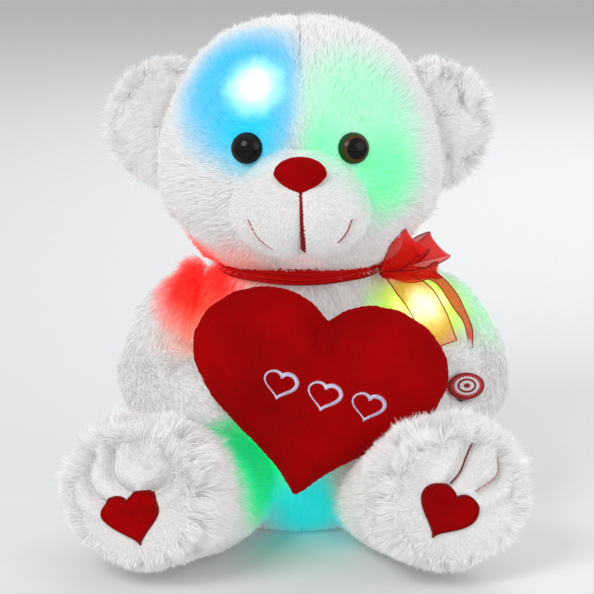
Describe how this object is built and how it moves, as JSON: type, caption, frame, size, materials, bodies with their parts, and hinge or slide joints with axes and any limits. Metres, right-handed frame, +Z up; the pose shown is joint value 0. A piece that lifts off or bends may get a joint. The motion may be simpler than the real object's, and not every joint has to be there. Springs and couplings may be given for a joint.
{
  "type": "plush bear night light",
  "caption": "Sitting white plush bear night light holding a red heart cushion, with LED lamps under the plush, a press switch in one forearm and a zip on the back.",
  "frame": {"origin": "the middle of the flat seat, on the surface that the bear sits on, below the middle of the torso", "axes": "+Z up through the head, -Y towards the front where the face and the feet point, -X to the bear's right, which is on the left as it faces the viewer"},
  "size_m": [0.2128, 0.1823, 0.25],
  "materials": {
    "plush": "long white polyester pile",
    "velour": "short white clipped pile",
    "velvet": "red crushed velvet",
    "satin_ribbon": "red satin, glossy",
    "organza": "sheer red organza with wired edges",
    "mouth_thread": "twisted red embroidery thread",
    "motif_thread": "lavender satin stitch",
    "eye_gloss": "glossy, nearly black amber",
    "washer_plastic": "white moulded",
    "fibre_filling": "loose polyester fibre",
    "badge_felt": "red printed felt",
    "zip_cloth": "woven white tape",
    "zip_nylon": "white nylon coil",
    "zip_metal": "plated zinc",
    "box_plastic": "black moulded, fine texture",
    "screw_steel": "plated",
    "cell_jacket": "plain shrink sleeve",
    "contact_steel": "nickel plated spring steel",
    "board_laminate": "green solder mask",
    "chip_epoxy": "moulded epoxy",
    "switch_plastic": "white moulded",
    "housing_plastic": "black moulded",
    "lead_sheath": "soft insulation",
    "lamp_blue": "clear blue lens, lit",
    "lamp_green": "clear green lens, lit",
    "lamp_red": "clear red lens, lit",
    "lamp_yellow": "clear yellow lens, lit",
    "lamp_cyan": "clear cyan lens, lit"
  },
  "bodies": {
    "body": {"arm_left": "plush", "arm_right": "plush", "battery_box": "box_plastic", "battery_cell_1": "cell_jacket", "battery_cell_2": "cell_jacket", "battery_cell_3": "cell_jacket", "bow_knot": "organza", "bow_loop_back": "organza", "bow_loop_front": "organza", "bow_tail_broad": "organza", "bow_tail_narrow": "organza", "contact_plate": "contact_steel", "contact_springs": "contact_steel", "controller_board": "board_laminate", "heart_cushion": "velvet", "heart_motif_1": "motif_thread", "heart_motif_2": "motif_thread", "heart_motif_3": "motif_thread", "lead_battery": "lead_sheath", "lead_belly": "lead_sheath", "lead_switch": "lead_sheath", "lead_trunk": "lead_sheath", "led_belly_cyan": "lamp_cyan", "led_belly_green": "lamp_green", "led_red": "lamp_red", "led_yellow": "lamp_yellow", "neck_ribbon": "satin_ribbon", "switch_housing": "housing_plastic", "switch_spring": "contact_steel", "timer_chip": "chip_epoxy", "torso_cover": "plush", "torso_filling": "fibre_filling", "zip_tape": "zip_cloth", "zip_teeth": "zip_nylon"},
    "head": {"head_cover": "plush", "head_filling": "fibre_filling", "ear_left": "plush", "ear_right": "plush", "eye_left": "eye_gloss", "eye_right": "eye_gloss", "eye_washer_left": "washer_plastic", "eye_washer_right": "washer_plastic", "muzzle": "velour", "nose": "velvet", "mouth_stitch": "mouth_thread", "led_blue": "lamp_blue", "led_cheek_green": "lamp_green", "lead_head": "lead_sheath"},
    "leg_right_body": {"leg_right": "plush", "sole_pad_right": "velour", "sole_heart_right": "velvet"},
    "leg_left_body": {"leg_left": "plush", "sole_pad_left": "velour", "sole_heart_left": "velvet"},
    "press_button": {"press_badge": "badge_felt", "switch_plunger": "switch_plastic"},
    "slider_body": {"zip_slider": "zip_metal"},
    "pull_body": {"zip_pull": "zip_metal"},
    "lid_body": {"battery_lid": "box_plastic", "lid_screw": "screw_steel"}
  },
  "joints": [
    {"name": "head_turn", "type": "hinge", "parent": "body", "child": "head", "pos_m": [0, -0.004, 0.1344], "axis": [0, 0, 1], "range_deg": [-12, 12], "stiffness_Nm_per_rad": 0.4},
    {"name": "leg_right_spread", "type": "hinge", "parent": "body", "child": "leg_right_body", "pos_m": [-0.038, -0.04, 0.027], "axis": [0, 0, -1], "range_deg": [0, 15], "stiffness_Nm_per_rad": 0.15},
    {"name": "leg_left_spread", "type": "hinge", "parent": "body", "child": "leg_left_body", "pos_m": [0.038, -0.04, 0.027], "axis": [0, 0, 1], "range_deg": [0, 15], "stiffness_Nm_per_rad": 0.15},
    {"name": "press_switch", "type": "slide", "parent": "body", "child": "press_button", "axis": [-0.3676, 0.7967, -0.4796], "range_m": [0, 0.002], "stiffness_N_per_m": 800, "deforming": ["switch_spring"]},
    {"name": "zip_slide", "type": "slide", "parent": "body", "child": "slider_body", "axis": [0, 0, -1], "range_m": [0, 0.047]},
    {"name": "zip_pull_swing", "type": "hinge", "parent": "slider_body", "child": "pull_body", "pos_m": [0, 0.0542, 0.08575], "axis": [1, 0, 0], "range_deg": [0, 120]},
    {"name": "battery_lid_lift", "type": "slide", "parent": "body", "child": "lid_body", "axis": [0, 1, 0], "range_m": [0, 0.0065]}
  ]
}
